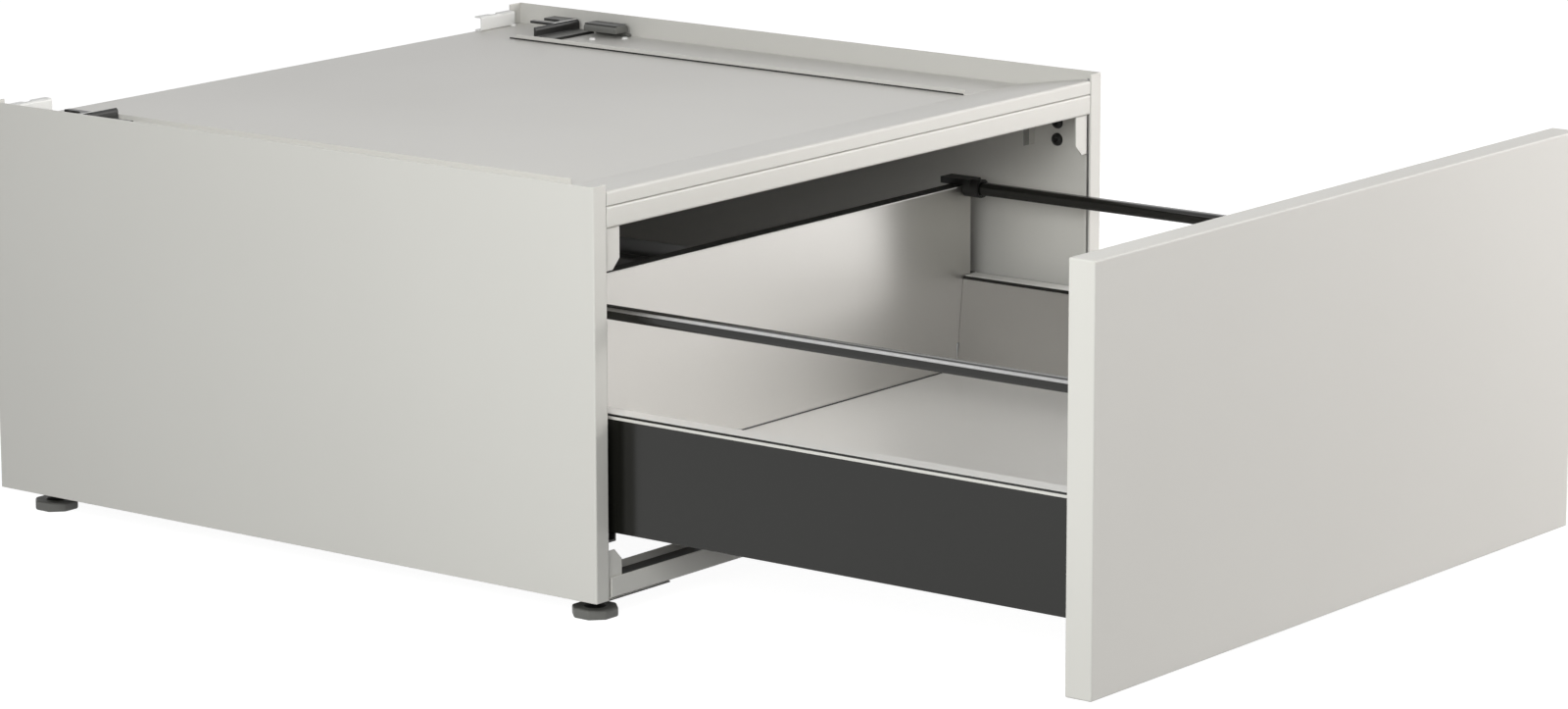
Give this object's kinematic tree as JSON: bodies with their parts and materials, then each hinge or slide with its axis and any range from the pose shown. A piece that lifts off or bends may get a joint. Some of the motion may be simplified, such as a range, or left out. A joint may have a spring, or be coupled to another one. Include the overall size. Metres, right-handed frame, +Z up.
{
  "type": "washer pedestal drawer",
  "caption": "Sheet-steel pedestal that raises a washing machine: recessed top with foot channels and retainers, wide sliding drawer with gallery rails, levelling feet.",
  "frame": {"origin": "on the floor, under the middle of the pedestal's box with the drawer drawn out as it stands at rest", "axes": "+Z up, +Y from the drawer front towards the back of the casing, +X to the right as seen from the front"},
  "size_m": [0.595, 0.9748, 0.302],
  "materials": {
    "casing_paint": "satin powder coat",
    "white_paint": "satin powder coat",
    "zinc_steel": "zinc plated",
    "black_steel": "matt black coat",
    "anthracite_paint": "semi-gloss anthracite",
    "satin_steel": "satin",
    "floor_laminate": "satin metal-look laminate",
    "dark_board": "matt black laminate",
    "black_plastic": "fine texture",
    "foot_plastic": "matt"
  },
  "bodies": {
    "casing": {"side_panel_left": "casing_paint", "side_panel_right": "casing_paint", "deck_panel": "casing_paint", "foot_channel_left": "casing_paint", "foot_channel_right": "casing_paint", "front_top_rail": "casing_paint", "top_corner_bracket_left": "casing_paint", "top_corner_bracket_right": "casing_paint", "front_bottom_rail": "casing_paint", "rear_bottom_rail": "casing_paint", "bottom_corner_bracket_left": "casing_paint", "bottom_corner_bracket_right": "casing_paint", "rear_panel": "casing_paint", "front_foot_plate_left": "casing_paint", "front_foot_plate_right": "casing_paint", "rear_foot_plate_left": "casing_paint", "rear_foot_plate_right": "casing_paint", "rear_stop_left": "white_paint", "rear_stop_right": "white_paint", "front_lock_nut_left": "zinc_steel", "front_lock_nut_right": "zinc_steel", "rear_lock_nut_left": "zinc_steel", "rear_lock_nut_right": "zinc_steel", "runner_support_left": "zinc_steel", "runner_support_right": "zinc_steel", "lower_bracket_screw_left": "black_steel", "lower_bracket_screw_right": "black_steel", "upper_bracket_screw_left": "black_steel", "upper_bracket_screw_right": "black_steel", "rear_machine_foot_retainer_left": "black_steel", "rear_machine_foot_retainer_right": "black_steel", "front_machine_foot_retainer_left": "black_steel", "front_machine_foot_retainer_right": "black_steel", "runner_cabinet_member_left": "black_steel", "runner_cabinet_member_right": "black_steel"},
    "drawer": {"drawer_front_shell": "casing_paint", "drawer_front_inner_plate": "casing_paint", "drawer_side_left": "anthracite_paint", "drawer_side_right": "anthracite_paint", "drawer_side_liner_left": "satin_steel", "drawer_side_liner_right": "satin_steel", "drawer_floor": "floor_laminate", "drawer_back": "dark_board", "drawer_back_liner": "satin_steel", "gallery_rail_left": "anthracite_paint", "gallery_rail_right": "anthracite_paint", "rail_rear_holder_left": "black_plastic", "rail_rear_holder_right": "black_plastic", "rail_front_socket_left": "black_plastic", "rail_front_socket_right": "black_plastic", "side_front_fixing_left": "black_plastic", "side_front_fixing_right": "black_plastic", "runner_drawer_member_left": "zinc_steel", "runner_drawer_member_right": "zinc_steel"},
    "runner_centre_left": {"runner_centre_member_left": "zinc_steel"},
    "runner_centre_right": {"runner_centre_member_right": "zinc_steel"},
    "front_foot_left": {"front_levelling_foot_left": "foot_plastic"},
    "front_foot_right": {"front_levelling_foot_right": "foot_plastic"},
    "rear_foot_left": {"rear_levelling_foot_left": "foot_plastic"},
    "rear_foot_right": {"rear_levelling_foot_right": "foot_plastic"}
  },
  "joints": [
    {"name": "drawer_slide", "type": "slide", "parent": "casing", "child": "drawer", "axis": [0, -1, 0], "range_m": [-0.385, 0.1135]},
    {"name": "runner_centre_slide_left", "type": "slide", "parent": "casing", "child": "runner_centre_left", "axis": [0, -1, 0], "range_m": [-0.194, 0.058]},
    {"name": "runner_centre_slide_right", "type": "slide", "parent": "casing", "child": "runner_centre_right", "axis": [0, -1, 0], "range_m": [-0.194, 0.058]},
    {"name": "front_foot_screw_left", "type": "slide", "parent": "casing", "child": "front_foot_left", "axis": [0, 0, 1], "range_m": [-0.012, 0]},
    {"name": "front_foot_screw_right", "type": "slide", "parent": "casing", "child": "front_foot_right", "axis": [0, 0, 1], "range_m": [-0.012, 0]},
    {"name": "rear_foot_screw_left", "type": "slide", "parent": "casing", "child": "rear_foot_left", "axis": [0, 0, 1], "range_m": [-0.012, 0]},
    {"name": "rear_foot_screw_right", "type": "slide", "parent": "casing", "child": "rear_foot_right", "axis": [0, 0, 1], "range_m": [-0.012, 0]}
  ],
  "couplings": [
    {"joint": "runner_centre_slide_left", "follows": "drawer_slide", "ratio": 0.5},
    {"joint": "runner_centre_slide_right", "follows": "drawer_slide", "ratio": 0.5}
  ]
}
